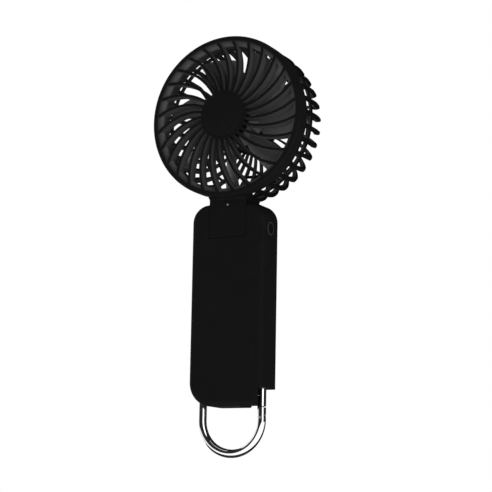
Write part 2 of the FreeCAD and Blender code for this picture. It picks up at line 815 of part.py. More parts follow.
# ---- head: rear -----------------------------------------------------------------------
def side_rib():
    """One rib: along the side from the band to the rounded rear corner."""
    corner = (head_r - cage_corner_in, cage_back_y - cage_corner_r)
    inside = opening_r + 0.4
    face = outline(
        lambda r, y: V(r, y, head_z - rib_thick / 2),
        (side_r_in, band_back_y + 0.1),
        (head_r - 0.3, band_back_y + 0.1),
        (head_r - 0.1, cage_bulge_y),
        ((head_r - 1.3, cage_bulge_y + 7), (corner[0] + cage_corner_r, corner[1])),
        (on_circle(*corner, cage_corner_r, 45), (corner[0], cage_back_y)),
        (corner[0] - 0.9, cage_back_y),
        (corner[0] - 0.9, cage_back_y - rib_deep),
        (corner[0], cage_back_y - rib_deep - 0.6),
        (inside, cage_bulge_y + 2),
        (inside, duct_back_y + 0.2),
        (side_r_in, duct_back_y + 0.2),
    )
    return face.extrude(V(0, 0, rib_thick))


def rear_grille():
    """Cage of ribs behind the duct, its rings, and the plate that holds the motor."""
    rim_r = head_r - cage_corner_in
    strip = swept_strip(
        cup_r - 0.5,
        rim_r,
        0.45 * back_swirl_deg,
        back_swirl_deg,
        rib_thick,
        back_rib_y,
        cage_back_y,
    )
    ribs = around_head(side_rib(), rib_count, rib_phase_deg)
    ribs += around_head(strip, rib_count, rib_phase_deg - back_swirl_deg)
    back = cage_back_y - 0.3
    ring_r = cup_r + back_ring_out
    outer_ring_r = rim_r - outer_ring_in
    side_ring_r = head_r - ring_in
    bar_y = duct_back_y + bar_behind_duct
    rings = [
        pipe(side_r_in - 0.1, side_ring_r, band_back_y + 0.1, band_back_y + 1.3),
        pipe(opening_r + 0.2, side_ring_r, bar_y, bar_y + bar_wide),
        pipe(outer_ring_r, outer_ring_r + back_ring_wide, back - 2.2, back),
        pipe(ring_r, ring_r + back_ring_wide, back - 2.2, back),
        along_head(cup_r, back_rib_y, cage_back_y),
    ]
    cage = fuse(rings + ribs)
    saddle = neck_half_w + 0.15
    cuts = [box(-saddle, saddle, -beyond, pivot_y + 0.15, 0, head_z - 30)]
    cap_floor = cage_back_y - rear_cap_deep - fit_gap
    cuts.append(along_head(cup_r - rear_cap_rim, cap_floor, cage_back_y + past))
    for x, z in motor_screw_places():
        cuts.append(rod(screw_r + fit_gap, V(x, 0, z), Y_AXIS, beyond))
        seat = cage_back_y - motor_screw_seat
        cuts.append(rod(screw_head_r + fit_gap, V(x, seat, z), Y_AXIS, past))
    return cage.cut(cuts)


def rear_cap():
    """Plain disc over the motor's screws."""
    r = cup_r - rear_cap_rim - fit_gap
    return along_head(r, cage_back_y - rear_cap_deep, cage_back_y)


def motor_screw_places():
    """Centres of the three motor screws."""
    return [on_circle(0, head_z, motor_screw_r, 90 + i * 120) for i in range(3)]


def motor_screws():
    """Three screws through the rear plate into the motor cup."""
    seat = cage_back_y - motor_screw_seat
    screws = []
    for x, z in motor_screw_places():
        start = back_rib_y - motor_screw_grip
        shank = rod(screw_r, V(x, start, z), Y_AXIS, seat - start + 0.2)
        head = rod(screw_head_r, V(x, seat, z), Y_AXIS, 0.9)
        screws.append(shank.fuse(head).removeSplitter())
    return Part.makeCompound(screws)


def motor_cup():
    """Cup in front of the rear plate, with the bearing tube on its front."""
    r = cup_r - 1.5
    back = back_rib_y
    wall = pipe(r - 1.5, r, cup_front_y, back)
    floor = along_head(r, cup_front_y, cup_front_y + cup_floor)
    tube = along_head(tube_r, impeller_front_y + 4.5, cup_front_y + 1)
    posts = []
    for x, z in motor_screw_places():
        posts.append(rod(2.2, V(x, cup_front_y + 1, z), Y_AXIS, back - cup_front_y - 1))
    cup = fuse([wall, floor, tube] + posts)
    holes = [along_head(bearing_r + fit_gap, -beyond, cup_front_y + past)]
    for x, z in motor_screw_places():
        holes.append(rod(screw_r + fit_gap, V(x, back - motor_screw_grip - 0.5, z), Y_AXIS, past))
    return cup.cut(holes)


def bearings():
    """Two sleeve bearings in the ends of the bearing tube."""
    front_y = impeller_front_y + 4.6
    back_y = cup_front_y - bearing_long
    hole = along_head(shaft_r + shaft_gap, -beyond, beyond)
    sleeves = [along_head(bearing_r, y, y + bearing_long).cut(hole) for y in (front_y, back_y)]
    return Part.makeCompound(sleeves)


def stator():
    """Laminated stator: a ring with T-shaped teeth, coils included."""
    y0, y1 = rotor_front_y + 2.4, impeller_back_y - 1.8
    ring = pipe(tube_r + fit_gap, tube_r + 1.6, y0 + 1, y1 - 1)
    shoe_ring = pipe(stator_r - 1.0, stator_r, y0 + 1, y1 - 1)
    slot = box(0, stator_r + 2, y0 - 1, y1 + 1, head_z - 0.5, head_z + 0.5)
    half_pitch = 180.0 / stator_teeth
    shoe_ring = shoe_ring.cut([round_head(s, half_pitch) for s in around_head(slot, stator_teeth)])
    leg = box(tube_r + 1, stator_r - 0.8, y0 + 1, y1 - 1, head_z - 0.8, head_z + 0.8)
    coil = box(tube_r + 1.9, stator_r - 1.2, y0, y1, head_z - 1.5, head_z + 1.5)
    parts = around_head(leg, stator_teeth) + around_head(coil, stator_teeth)
    return fuse([ring] + shoe_ring.Solids + parts)


def motor_board():
    """Round driver board behind the stator."""
    board = pipe(tube_r + fit_gap, stator_r + 1.0, cup_front_y - 2.2, cup_front_y - 1.2)
    driver = box(5.2, 8.2, cup_front_y - 1.2, cup_front_y - 0.3, head_z - 1.5, head_z + 1.5)
    foot = pipe(tube_r + fit_gap, tube_r + 1.0, cup_front_y - 1.2, cup_front_y)
    return board.multiFuse([driver, foot]).removeSplitter()


# ---- impeller -------------------------------------------------------------------------
def blade():
    """One flat pitched blade along +X, trimmed to the ring that it sweeps."""
    front, back, r = blade_front_y, blade_back_y, impeller_hub_r
    half_t, half_chord = blade_thick / 2, blade_back_y - blade_front_y
    plate = box(r - 4, impeller_r + 4, -half_t, half_t, -half_chord, half_chord)
    plate.rotate(V(0, 0, 0), X_AXIS, -(90 - blade_pitch_deg))
    plate.translate(V(0, (front + back) / 2, head_z))
    swept = pipe(r - 0.7, impeller_r, front, back)
    behind_hub = along_head(r + 1.2, impeller_back_y - 0.5, back + 1)
    return plate.common(swept.cut(behind_hub))


def impeller():
    """Blades and hub cup in one moulding."""
    front, back, r, wall = impeller_front_y, impeller_back_y, impeller_hub_r, impeller_wall
    edge = 1.5
    cup = turned(
        (0, front),
        (r - edge, front),
        (on_circle(r - edge, front + edge, edge, -45), (r, front + edge)),
        (r, back),
        (r - wall, back),
        (r - wall, front + wall),
        (0, front + wall),
    )
    boss = along_head(shaft_r + 1.4, front + 1, rotor_front_y)
    hole = along_head(shaft_r, front + 0.8, front + past)
    return fuse([cup, boss] + around_head(blade(), blade_count)).cut(hole)


def rotor_can():
    """Steel cup pressed into the impeller's hub."""
    front = rotor_front_y
    can = along_head(rotor_r, front, impeller_back_y - 0.5)
    room = along_head(rotor_r - rotor_wall, front + rotor_wall, beyond)
    return can.cut([room, along_head(shaft_r, -beyond, beyond)])


def magnet_ring():
    """Ring magnet inside the rotor can."""
    outer = rotor_r - rotor_wall - 0.02
    return pipe(outer - magnet_wall, outer, rotor_front_y + 1.6, impeller_back_y - 1.0)


def motor_shaft():
    """Steel shaft from the impeller's hub through both bearings."""
    return along_head(shaft_r, impeller_front_y + 0.8, cup_front_y - 0.3)


def main():
    """Builds and writes every piece."""
    front, rear = handle_shells()
    pieces = {
        "front_shell": front,
        "rear_shell": rear,
        "handle_screws": handle_screws(),
        "pivot_cap_right": pivot_cap(1),
        "pivot_cap_left": pivot_cap(-1),
        "hinge_pins": hinge_pins(),
        "friction_washers": friction_washers(),
        "carabiner_frame": carabiner_frame(),
        "carabiner_nose": carabiner_nose(),
        "carabiner_gate": carabiner_gate(),
        "gate_pin": gate_pin(),
        "gate_spring": gate_spring(),
        "battery_cell": battery_cell(),
        "control_board": control_board(),
        "usb_socket": usb_socket(),
        "tact_switch": tact_switch(),
        "power_button": power_button(),
        "charge_windows": Part.makeCompound(window_holes(0.0)),
        "front_grille": front_grille(),
        "grille_cap": grille_cap(),
        "shroud": shroud(),
        "neck_cover": neck_cover(),
        "neck_screws": neck_screws(),
        "status_lens": status_lens(),
        "rear_grille": rear_grille(),
        "rear_cap": rear_cap(),
        "motor_screws": motor_screws(),
        "motor_cup": motor_cup(),
        "bearings": bearings(),
        "stator": stator(),
        "motor_board": motor_board(),
        "impeller": impeller(),
        "rotor_can": rotor_can(),
        "magnet_ring": magnet_ring(),
        "motor_shaft": motor_shaft(),
    }
    for name, shape in pieces.items():
        export(name, shape)


main()
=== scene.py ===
"""Looks of the folding hand fan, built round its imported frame.

Shapes are drawn in millimetres, in the frame's own axes, and piece() turns them into metres.
"""

import bpy
import bmesh
import json
import math
import numpy as np
from mathutils import Matrix, Vector


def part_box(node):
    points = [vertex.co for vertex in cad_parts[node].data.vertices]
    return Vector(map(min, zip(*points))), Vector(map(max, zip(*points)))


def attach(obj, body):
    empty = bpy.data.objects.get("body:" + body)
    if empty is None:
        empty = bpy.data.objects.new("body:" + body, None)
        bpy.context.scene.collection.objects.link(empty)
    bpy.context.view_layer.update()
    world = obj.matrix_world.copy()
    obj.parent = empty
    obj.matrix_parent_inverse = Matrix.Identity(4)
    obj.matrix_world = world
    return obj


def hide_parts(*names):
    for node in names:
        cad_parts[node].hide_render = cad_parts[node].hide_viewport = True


MM = 0.001
on_axis = 0.001  # mm, the radius at which a turned profile closes on its axis
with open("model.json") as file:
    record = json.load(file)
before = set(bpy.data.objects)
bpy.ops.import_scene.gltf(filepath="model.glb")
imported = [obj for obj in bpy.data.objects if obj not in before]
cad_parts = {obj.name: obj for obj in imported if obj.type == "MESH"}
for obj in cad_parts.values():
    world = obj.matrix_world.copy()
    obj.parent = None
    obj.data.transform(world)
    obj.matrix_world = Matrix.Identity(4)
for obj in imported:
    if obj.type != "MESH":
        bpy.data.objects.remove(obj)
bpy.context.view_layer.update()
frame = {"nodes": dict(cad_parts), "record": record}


def measure(node):
    """Lowest and highest corner of a CAD node, in millimetres."""
    low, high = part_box(node)
    return np.array(low) / MM, np.array(high) / MM


# ---- sizes, in mm, read from the frame where it has them ---------------------------------
grille_low, grille_high = measure("front_grille")
shell_high = measure("front_shell")[1]
loop_low, loop_high = measure("carabiner_frame")
cage_high = measure("rear_grille")[1]
cap_low, cap_high = measure("pivot_cap_right")
wheel_low, wheel_high = measure("impeller")
pin_low, pin_high = measure("gate_pin")

head_r = (grille_high[0] - grille_low[0]) / 2
head_z = grille_high[2] - head_r
hub_front = grille_low[1]
ring_front = hub_front + 3.3
opening_r = head_r - 3.5
bezel_back = ring_front + 5.0
band_back = ring_front + 8.5
duct_back = ring_front + 14.0
cage_back = cage_high[1]
pivot_y = (cap_low[1] + cap_high[1]) / 2
pivot_z = (cap_low[2] + cap_high[2]) / 2
rod_r = (loop_high[1] - loop_low[1]) / 2
rod_y = (loop_high[1] + loop_low[1]) / 2
loop_r = shell_high[0] - 4.5
loop_z = loop_low[2] + rod_r + loop_r


# ---- drawing helpers ---------------------------------------------------------------------
def rounded(corners, radii, steps=5):
    """A closed outline with round corners: each arc touches its two sides at the distance
    radius / tan(half the corner's angle) from the corner."""
    corners = np.array(corners, float)
    out = []
    for i, (corner, radius) in enumerate(zip(corners, radii)):
        to_last = corners[i - 1] - corner
        to_next = corners[(i + 1) % len(corners)] - corner
        to_last /= np.linalg.norm(to_last)
        to_next /= np.linalg.norm(to_next)
        half = math.acos(np.clip(to_last @ to_next, -1, 1)) / 2
        middle = (to_last + to_next) / np.linalg.norm(to_last + to_next)
        centre = corner + middle * radius / math.sin(half)
        first = corner + to_last * radius / math.tan(half) - centre
        last = corner + to_next * radius / math.tan(half) - centre
        t = np.linspace(0, 1, steps)[:, None]
        turn = math.pi - 2 * half
        out.append(centre + (np.sin((1 - t) * turn) * first + np.sin(t * turn) * last) / math.sin(turn))
    return np.concatenate(out)


def turned(profile, steps=180, painted_light=None):
    """A closed profile of (radius, y) carried round the head's axis: x = r cos a, z = r sin a.
    Its last argument, a function of (r, y), says where the surface is painted paler: painted light."""
    a = np.linspace(0, 2 * math.pi, steps, endpoint=False)[:, None]
    r, y = np.array(profile, float).T
    shape = np.stack([r * np.cos(a), y + 0 * a, head_z + r * np.sin(a)], -1)
    return surface(shape, True, True, tone=painted_light(r, y) * 1.0 if painted_light else 0.0)


def surface(points, loop_rows=False, loop_columns=False, capped=False, tone=0.0):
    """Points (rows, columns, xyz) joined by four-sided faces; caps close the first and last row."""
    rows, columns = points.shape[:2]
    i = np.arange(rows if loop_rows else rows - 1)[:, None]
    j = np.arange(columns if loop_columns else columns - 1)[None, :]
    i2, j2 = (i + 1) % rows, (j + 1) % columns
    quads = np.stack([i * columns + j, i * columns + j2, i2 * columns + j2, i2 * columns + j], -1)
    faces = quads.reshape(-1, 4).tolist()
    if capped:
        faces.append(list(range(columns)))
        faces.append(list(range((rows - 1) * columns, rows * columns)))
    # per point, the share of painted light: a paler colour standing in for light falling there
    painted_light_shares = np.broadcast_to(tone, points.shape[:2]).reshape(-1)
    return points.reshape(-1, 3), faces, painted_light_shares


def around(part, count, phase=0.0):
    """Copies of a surface turned about the head's axis: x' = x cos a - z sin a, z' = x sin a + z cos a."""
    points, faces, painted_light_shares = part
    copies = []
    for a in np.radians(phase + np.arange(count) * 360.0 / count):
        x, y, z = points[:, 0], points[:, 1], points[:, 2] - head_z
        spun = np.stack([x * np.cos(a) - z * np.sin(a), y, head_z + x * np.sin(a) + z * np.cos(a)], -1)
        copies.append((spun, faces, painted_light_shares))
    return copies


def piece(name, body, finish, parts, stands_for=(), sharp=38):
    """One object from several surfaces: doubles merged, faces turned outwards, smooth up to the
    angle sharp, with each surface's share of painted light kept as an attribute."""
    points, faces, painted_light_shares, start = [], [], [], 0
    for p, f, t in parts:
        points.append(p)
        painted_light_shares.append(t)
        faces += [[start + k for k in face] for face in f]
        start += len(p)
    mesh = bpy.data.meshes.new(name)
    mesh.from_pydata((np.concatenate(points) * MM).tolist(), [], faces)
    mesh.attributes.new("tone", "FLOAT", "POINT")
    mesh.attributes["tone"].data.foreach_set("value", np.concatenate(painted_light_shares).astype(np.float32))
    work = bmesh.new()
    work.from_mesh(mesh)
    bmesh.ops.remove_doubles(work, verts=work.verts, dist=1e-6)
    bmesh.ops.dissolve_degenerate(work, edges=work.edges, dist=1e-7)
    bmesh.ops.recalc_face_normals(work, faces=work.faces)
    work.to_mesh(mesh)
    work.free()
    mesh.polygons.foreach_set("use_smooth", np.ones(len(mesh.polygons), bool))
    mesh.set_sharp_from_angle(angle=math.radians(sharp))
    mesh.materials.append(finish)
    thing = bpy.data.objects.new(name, mesh)
    bpy.context.scene.collection.objects.link(thing)
    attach(thing, body)
    if stands_for:
        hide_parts(*stands_for)
    return thing


# ---- shader helpers ----------------------------------------------------------------------
class Value:
    """A number in a node tree; arithmetic on it adds Math nodes."""

    def __init__(self, tree, socket):
        self.tree, self.socket = tree, socket

    def math(self, operation, *others):
        node = self.tree.nodes.new("ShaderNodeMath")
        node.operation = operation
        for socket, other in zip(node.inputs, (self,) + others):
            if isinstance(other, Value):
                self.tree.links.new(other.socket, socket)
            else:
                socket.default_value = other
        return Value(self.tree, node.outputs[0])

    def __add__(self, other):
        return self.math("ADD", other)

    def __sub__(self, other):
        return self.math("SUBTRACT", other)

    def __rsub__(self, other):
        return (self * -1.0).math("ADD", other)

    def __mul__(self, other):
        return self.math("MULTIPLY", other)

    def clamp(self):
        return self.math("MAXIMUM", 0.0).math("MINIMUM", 1.0)

    __radd__ = __add__
    __rmul__ = __mul__


class Finish:
    """A material with one Principled shader, whose numbers are given by name."""

    def __init__(self, name, **numbers):
        self.material = bpy.data.materials.new(name)
        self.material.use_nodes = True
        self.tree = self.material.node_tree
        self.shader = self.tree.nodes["Principled BSDF"]
        for key, number in numbers.items():
            self.shader.inputs[key.replace("_", " ")].default_value = number
        self.place = self.add("ShaderNodeTexCoord", out="Object")

    def add(self, kind, settings=None, out=0, **inputs):
        """A node of any kind: settings first, then the numbers or links of its sockets."""
        node = self.tree.nodes.new(kind)
        for key, setting in (settings or {}).items():
            setattr(node, key, setting)
        for key, value in inputs.items():
            socket = node.inputs[key.replace("_", " ")]
            if isinstance(value, Value):
                self.tree.links.new(value.socket, socket)
            else:
                socket.default_value = value
        return Value(self.tree, node.outputs[out])

    def noise(self, grain, detail=3.0, roughness=0.55):
        """Noise whose lumps are about grain millimetres wide."""
        return self.add(
            "ShaderNodeTexNoise",
            Vector=self.place,
            Scale=1 / (grain * MM),
            Detail=detail,
            Roughness=roughness,
        )

    def blend(self, amount, low, high):
        """A colour between low and high, which are plain colours or links."""
        node = self.tree.nodes.new("ShaderNodeMix")
        node.data_type = "RGBA"
        factor, first, second = node.inputs[0], node.inputs[6], node.inputs[7]
        self.tree.links.new(amount.socket, factor)
        for socket, colour in ((first, low), (second, high)):
            if isinstance(colour, Value):
                self.tree.links.new(colour.socket, socket)
            else:
                socket.default_value = (*colour, 1)
        return Value(self.tree, node.outputs[2])

    def tone(self):
        """Painted light read from the surface's attribute: 1 on faces painted paler, as if they caught
        more light.
        """
        return self.add("ShaderNodeAttribute", {"attribute_name": "tone"}, out="Fac")

    def inside(self, radius):
        """1 where a point is nearer than radius to the head's axis, else 0."""
        x = self.add("ShaderNodeSeparateXYZ", Vector=self.place, out="X")
        z = self.add("ShaderNodeSeparateXYZ", Vector=self.place, out="Z") - head_z * MM
        return (x * x + z * z).math("LESS_THAN", (radius * MM) ** 2)

    def feed(self, **links):
        for key, value in links.items():
            self.tree.links.new(value.socket, self.shader.inputs[key.replace("_", " ")])

    def bump(self, height, depth):
        """Relief of the given depth in millimetres."""
        self.feed(Normal=self.add("ShaderNodeBump", Height=height, Distance=depth * MM, Strength=1.0))


def moulded(name, dark, light, gloss, grain=0.35, relief=0.012, side=None, sheen=0.02, duct=False):
    """Moulded plastic: fine spark-eroded grain, cloudy sheen, and painted light: a paler colour on
    faces marked as lit, or inside the duct, where x^2 + (z - head_z)^2 is less than the duct's radius
    squared."""
    f = Finish(name, Specular_IOR_Level=sheen)
    cloud = f.noise(9.0, 4.0)
    fine = f.noise(grain, 2.0)
    rubbed = (f.noise(2.2, 5.0, 0.7) - 0.62).clamp() * 1.6
    amount = (cloud * 0.7 + fine * 0.3).clamp()
    colour = f.blend(amount, dark, light)
    # painted light: the side colour is painted on faces marked as lit, or inside the duct, in place of
    # light falling there
    if side:
        painted_light = f.blend(amount, [c * 0.8 for c in side], [c * 1.2 for c in side])
        painted_light_mask = f.inside(opening_r + 0.4) if duct else f.tone()
        colour = f.blend(painted_light_mask, colour, painted_light)
    f.feed(Base_Color=colour, Roughness=(cloud - 0.5) * 0.14 + (fine - 0.5) * 0.12 - rubbed * 0.2 + gloss)
    f.bump(fine + cloud * 0.3, relief)
    return f.material


def plated(name, colour, polish):
    """Bright plate: a long soft waviness, a few hairlines, and a faint haze."""
    f = Finish(name, Metallic=1.0)
    haze = f.noise(3.0, 4.0)
    lines = f.noise(0.3, 3.0)
    f.feed(
        Base_Color=f.blend(haze, [c * 0.94 for c in colour], colour),
        Roughness=(haze * 0.5 + lines * 0.5) * 0.05 + polish,
    )
    f.bump(haze, 0.002)
    return f.material


def bare_metal(name, colour, rough, grain=0.25):
    """Turned or pressed metal with fine machining marks and darker patches."""
    f = Finish(name, Metallic=1.0)
    marks = f.noise(grain, 3.0)
    stain = f.noise(1.8, 4.0)
    f.feed(
        Base_Color=f.blend(stain, [c * 0.72 for c in colour], colour),
        Roughness=(marks - 0.5) * 0.2 + (stain - 0.5) * 0.1 + rough,
    )
    f.bump(marks, 0.006)
    return f.material


def circuit_mask():
    """Green lacquer over copper tracks: cells of a voronoi pattern give the tracks' edges."""
    f = Finish("circuit_mask", Specular_IOR_Level=0.5)
    cells = f.add(
        "ShaderNodeTexVoronoi",
        {"distance": "CHEBYCHEV", "feature": "DISTANCE_TO_EDGE"},
        Vector=f.place,
        Scale=1 / (2.4 * MM),
    )
    track = (cells * 9.0).clamp()
    f.feed(
        Base_Color=f.blend(track, (0.02, 0.16, 0.06), (0.01, 0.07, 0.03)),
        Roughness=f.noise(0.5) * 0.15 + 0.25,
    )
    f.bump(track * -1.0, 0.03)
    return f.material


def foil():
    """Crinkled laminate of the flat cell."""
    f = Finish("cell_foil", Metallic=1.0)
    crinkle = f.noise(2.5, 6.0, 0.65)
    f.feed(
        Base_Color=f.blend(crinkle, (0.42, 0.43, 0.45), (0.7, 0.71, 0.73)),
        Roughness=crinkle * 0.25 + 0.22,
    )
    f.bump(crinkle, 0.08)
    return f.material


def clear_plastic():
    """Smoky window: milky inside, smooth outside."""
    f = Finish("clear_window", Specular_IOR_Level=0.5, Transmission_Weight=0.35)
    milk = f.noise(0.8, 3.0)
    f.feed(
        Base_Color=f.blend(milk, (0.32, 0.33, 0.35), (0.55, 0.56, 0.58)),
        Roughness=milk * 0.1 + 0.12,
    )
    f.bump(milk, 0.003)
    return f.material


def winding():
    """Enamelled wire: close waves round each coil."""
    f = Finish("winding", Specular_IOR_Level=0.5)
    wave = f.add(
        "ShaderNodeTexWave",
        {"bands_direction": "Y"},
        Vector=f.place,
        Scale=1 / (1.6 * MM),
        Distortion=1.5,
        Detail=1.0,
    )
    f.feed(
        Base_Color=f.blend(wave, (0.16, 0.05, 0.02), (0.5, 0.2, 0.07)),
        Roughness=wave * 0.1 + 0.28,
        Metallic=wave * 0.5 + 0.3,
    )
    f.bump(wave, 0.12)
    return f.material


shell_dark = (0.0075, 0.0075, 0.0079)
shell_light = (0.0115, 0.0115, 0.012)
black = moulded("black_shell", shell_dark, shell_light, 0.55)
# The next three finishes carry painted light: a paler side colour on faces painted as lit.
black_painted_lit_sides = moulded("black_spokes_painted_lit_sides", shell_dark, shell_light, 0.5, side=(0.14, 0.14, 0.143))
black_cage_painted_lit = moulded(
    "black_cage_painted_lit", (0.005, 0.005, 0.0053), (0.008, 0.008, 0.0084), 0.55, side=(0.08, 0.08, 0.082)
)
black_duct_painted_lit = moulded("black_duct_painted_lit", shell_dark, shell_light, 0.5, side=(0.13, 0.13, 0.133), duct=True)
gloss_black = moulded("black_gloss", (0.0085, 0.0085, 0.0089), (0.012, 0.012, 0.0125), 0.35, 0.5, 0.004)
grey = moulded("grey_impeller", (0.15, 0.15, 0.155), (0.22, 0.22, 0.225), 0.42, sheen=0.3)
chrome = plated("chrome", (0.78, 0.78, 0.8), 0.02)
steel = bare_metal("steel", (0.56, 0.56, 0.58), 0.32)
dark_steel = bare_metal("black_steel", (0.05, 0.05, 0.055), 0.4)
bronze = bare_metal("bronze", (0.5, 0.33, 0.16), 0.45)
ferrite = bare_metal("magnet", (0.1, 0.1, 0.11), 0.6)
finishes = {
    "black_shell": black,
    "black_gloss": gloss_black,
    "grey_impeller": grey,
    "chrome": chrome,
    "steel": steel,
    "black_steel": dark_steel,
    "bronze": bronze,
    "copper_winding": winding(),
    "magnet": ferrite,
    "cell_foil": foil(),
    "circuit_board": circuit_mask(),
    "clear_window": clear_plastic(),
}
for entry in frame["record"]["subparts"]:
    mesh = frame["nodes"][entry["node"]].data
    mesh.materials.clear()
    mesh.materials.append(black_duct_painted_lit if entry["node"] == "shroud" else finishes[entry["material_slot"]])


# ---- head: front grille ------------------------------------------------------------------
def circle_through(p0, p1, p2, steps):
    """Points and normals of the arc through three points: its centre is as far from each."""
    p0, p1, p2 = (np.array(p, float) for p in (p0, p1, p2))
    centre = np.linalg.solve(2 * np.array([p1 - p0, p2 - p1]), [p1 @ p1 - p0 @ p0, p2 @ p2 - p1 @ p1])
    rays = np.array([p0, p1, p2]) - centre
    turn = np.unwrap(np.arctan2(rays[:, 1], rays[:, 0]))
    a = np.linspace(turn[0], turn[2], steps)
    normals = np.stack([np.cos(a), np.sin(a)], -1)
    return centre + np.linalg.norm(rays[0]) * normals, normals


def polar(r, degrees):
    """A point at radius r and an angle from +X towards +Z, from the head's axis."""
    return (r * math.cos(math.radians(degrees)), r * math.sin(math.radians(degrees)))


hub_r = 14.5
spoke_count = 28
spoke_thick = 1.6
spoke_deep = 7.0
spoke_phase = -12.0
spoke_mid_turn = 8.4
spoke_end_turn = 20.3


def dome(r):
    """Front of the spokes at radius r: a parabola from the hub's front to just behind the ring."""
    inner, outer = hub_r - 1, opening_r + 0.5
    t = (r - inner) / (outer - inner)
    return hub_front + t * 3.7 - 4 * 0.5 * t * (1 - t)


def spoke():
    """One swept spoke: a rounded bar's section carried along the arc through three points, at
    the hub, half way and at the ring, each turned further round the axis."""
    root = polar(hub_r - 0.9, 0)
    half_way = polar((hub_r + opening_r) / 2, spoke_mid_turn)
    tip = polar(head_r - 2.4, spoke_end_turn)
    path, normals = circle_through(root, half_way, tip, 26)
    w, d = spoke_thick / 2, spoke_deep
    section = rounded([(-w, 0), (w, 0), (w, d), (-w, d)], [0.4, 0.4, 0.3, 0.3])
    r = np.linalg.norm(path, axis=1)[:, None]
    across, behind = section[:, 0][None, :], section[:, 1][None, :]
    front = dome(r)
    points = np.stack(
        [
            path[:, 0:1] + normals[:, 0:1] * across,
            front + behind,
            head_z + path[:, 1:2] + normals[:, 1:2] * across,
        ],
        -1,
    )
    # painted light: behind the front edge, the spoke's sides and back are painted paler, as if lit
    tone = np.clip((behind - 0.3) / 0.3, 0, 1) + 0 * r
    return surface(points, False, True, True, tone)


def front_grille():
    """Ring, 28 spokes and hub: the ring and the hub are rounded profiles turned round the axis."""
    f, b, lip_r = ring_front, bezel_back, opening_r - 2
    ring = turned(
        rounded(
            [(lip_r, b), (lip_r, f + 3), (head_r - 2.5, f), (head_r, f), (head_r, b)],
            [0.3, 0.8, 0.4, 0.9, 0.05],
            8,
        ),
        # painted light: the ring's inner funnel face is painted paler, as if lit
        painted_light=lambda r, y: (r < head_r - 2.6) & (y > f + 0.35),
    )
    h, seat = hub_front, hub_front + 0.8
    hub = turned(
        rounded(
            [
                (on_axis, seat),
                (hub_r - 1.3, seat),
                (hub_r - 1.3, h),
                (hub_r, h),
                (hub_r, h + spoke_deep),
                (on_axis, h + spoke_deep),
            ],
            [on_axis / 2, 0.05, 0.3, 0.45, 0.4, on_axis / 2],
        )
    )
    piece(
        "front_grille_moulding",
        "head",
        black_painted_lit_sides,
        [ring, hub] + around(spoke(), spoke_count, spoke_phase),
        ["front_grille"],
    )


front_grille()


# ---- impeller ----------------------------------------------------------------------------
wheel_hub_r = 14.0
wheel_tip_r = (wheel_high[0] - wheel_low[0]) / 2 - 0.1
blade_front, blade_back = wheel_low[1] + 4.7, wheel_high[1]
blade_count = 7
blade_slope = -0.95
blade_sweep = 10.0
blade_phase = -2.0
blade_camber = 1.6


def blade():
    """One blade: an airfoil section whose chord runs from front to back with a slope that grows
    with the radius, and which turns by the sweep from hub to tip. Along the chord, s = cos a
    runs from 1 to -1 and back. Its half thickness is sin a * sqrt(1 - s^6), and its middle line
    is bowed by the camber times 1 - s^2."""
    r = np.linspace(wheel_hub_r - 1.0, wheel_tip_r, 22)[:, None]
    share = (r - wheel_hub_r) / (wheel_tip_r - wheel_hub_r)
    a = np.linspace(0, 2 * math.pi, 44, endpoint=False)[None, :]
    s = np.cos(a)
    half = (blade_back - blade_front) / 2 * (1 - 0.12 * share**2)
    thick = (0.85 - 0.3 * share) * np.sin(a) * (1 - s**6) ** 0.5
    slope = blade_slope * (0.75 + 0.35 * share)
    angle = np.arctan(slope)
    along = half / np.cos(angle) * s
    camber = blade_camber * (1 - s**2) * np.sign(blade_slope)
    y = (blade_front + blade_back) / 2 + along * np.cos(angle) - (thick + camber) * np.sin(angle)
    y = np.clip(y, blade_front + 0.1, blade_back - 0.1)
    across = along * np.sin(angle) + (thick + camber) * np.cos(angle)
    turn = across / r + math.radians(blade_sweep) * share
    points = np.stack([r * np.cos(turn), y + 0 * r, head_z + r * np.sin(turn)], -1)
    return surface(points, False, True, True, 0.0)


def impeller():
    """Blades and a hub cup turned from a thin-walled profile."""
    f, r, wall, deep = wheel_low[1], wheel_hub_r, 1.6, 16.2
    b = f + deep
    cup = turned(
        rounded(
            [
                (on_axis, f),
                (r, f),
                (r, b),
                (r - wall, b),
                (r - wall, f + wall),
                (on_axis, f + wall),
            ],
            [on_axis / 2, 1.5, 0.3, 0.3, 0.8, on_axis / 2],
        ),
        120,
    )
    piece(
        "impeller_moulding",
        "fan_wheel",
        grey,
        [cup] + around(blade(), blade_count, blade_phase),
        ["impeller"],
    )


impeller()


# ---- rear cage ---------------------------------------------------------------------------
rib_count = 36
rib_phase = 0.9
rib_thick = 2.6
rib_deep = 2.8
swirl = 16.0
plate_r = 15.5
plate_rim = 2.5


def bend(stations, counts):
    """Straight runs between stations, each split into its own number of steps."""
    runs = []
    for start, end, count in zip(stations[:-1], stations[1:], counts):
        t = np.linspace(0, 1, count, endpoint=False)[:, None]
        runs.append(np.array(start) * (1 - t) + np.array(end) * t)
    return np.concatenate(runs + [np.array([stations[-1]])])


def softened(line, passes):
    """Each inner point moved to the mean of itself and its neighbours, again and again."""
    for _ in range(passes):
        line[1:-1] = (line[:-2] + 2 * line[1:-1] + line[2:]) / 4
    return line


